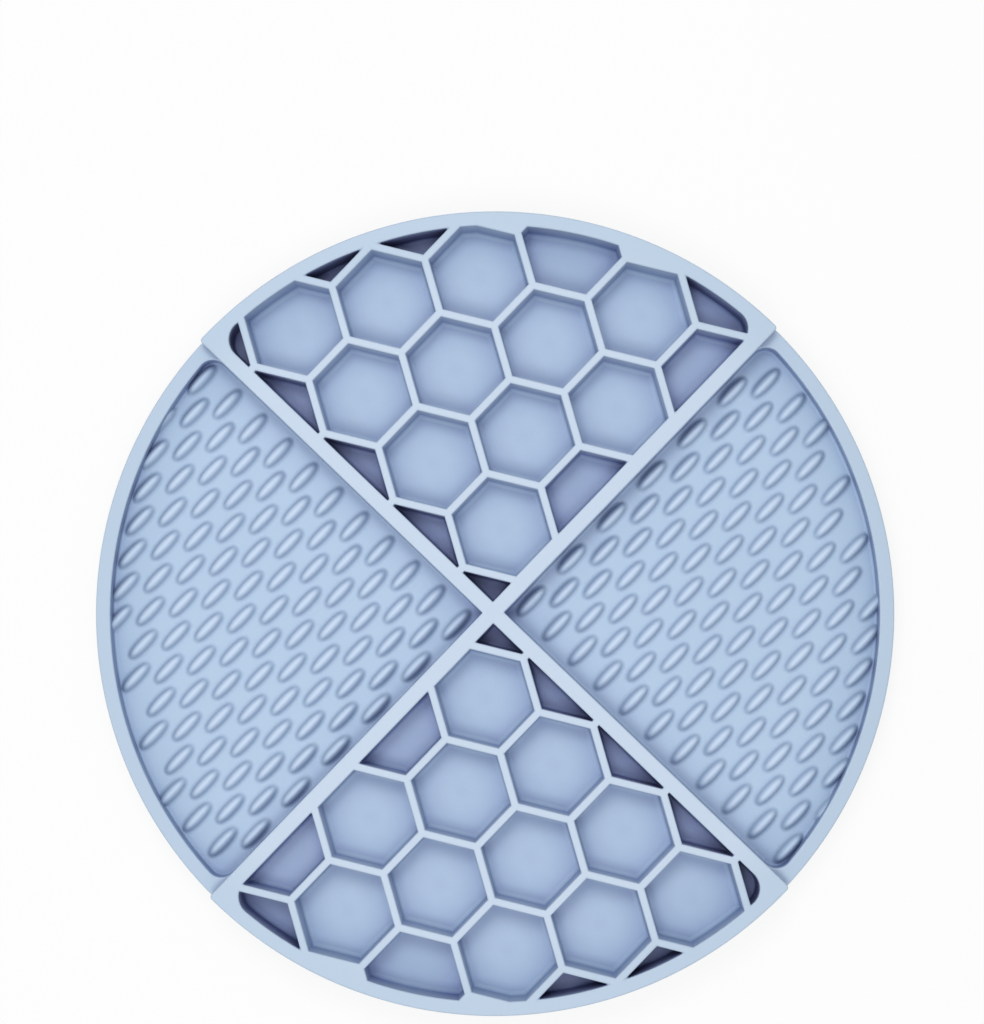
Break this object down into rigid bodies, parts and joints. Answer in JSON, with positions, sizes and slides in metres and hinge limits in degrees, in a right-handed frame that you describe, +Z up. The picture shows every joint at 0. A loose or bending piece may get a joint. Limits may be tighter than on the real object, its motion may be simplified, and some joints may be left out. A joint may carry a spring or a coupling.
{
  "type": "lick mat",
  "caption": "Round silicone lick mat with a cross of dividers, deep honeycomb cells in two sectors, trays of rice-grain nubs in the other two, and suction cups underneath.",
  "frame": {"origin": "middle of the plane that the suction cups' lips stand on, under the crossing of the dividers", "axes": "+Z up, out of the cells and trays; +Y towards the honeycomb sector at the top of the picture; +X towards the nub tray at its right"},
  "size_m": [0.2, 0.2, 0.014],
  "materials": {
    "pale_blue_silicone": "satin, softly translucent silicone, moulded in one colour"
  },
  "bodies": {
    "root": {"base_web": "pale_blue_silicone", "divider_cross": "pale_blue_silicone", "rear_honeycomb": "pale_blue_silicone", "front_honeycomb": "pale_blue_silicone", "rear_tall_rim": "pale_blue_silicone", "front_tall_rim": "pale_blue_silicone", "left_nubs": "pale_blue_silicone", "right_nubs": "pale_blue_silicone", "left_low_rim": "pale_blue_silicone", "right_low_rim": "pale_blue_silicone", "inner_suction_cup_1": "pale_blue_silicone", "inner_suction_cup_2": "pale_blue_silicone", "inner_suction_cup_3": "pale_blue_silicone", "inner_suction_cup_4": "pale_blue_silicone", "outer_suction_cup_1": "pale_blue_silicone", "outer_suction_cup_2": "pale_blue_silicone", "outer_suction_cup_3": "pale_blue_silicone", "outer_suction_cup_4": "pale_blue_silicone", "outer_suction_cup_5": "pale_blue_silicone", "outer_suction_cup_6": "pale_blue_silicone", "outer_suction_cup_7": "pale_blue_silicone", "outer_suction_cup_8": "pale_blue_silicone"}
  },
  "joints": []
}
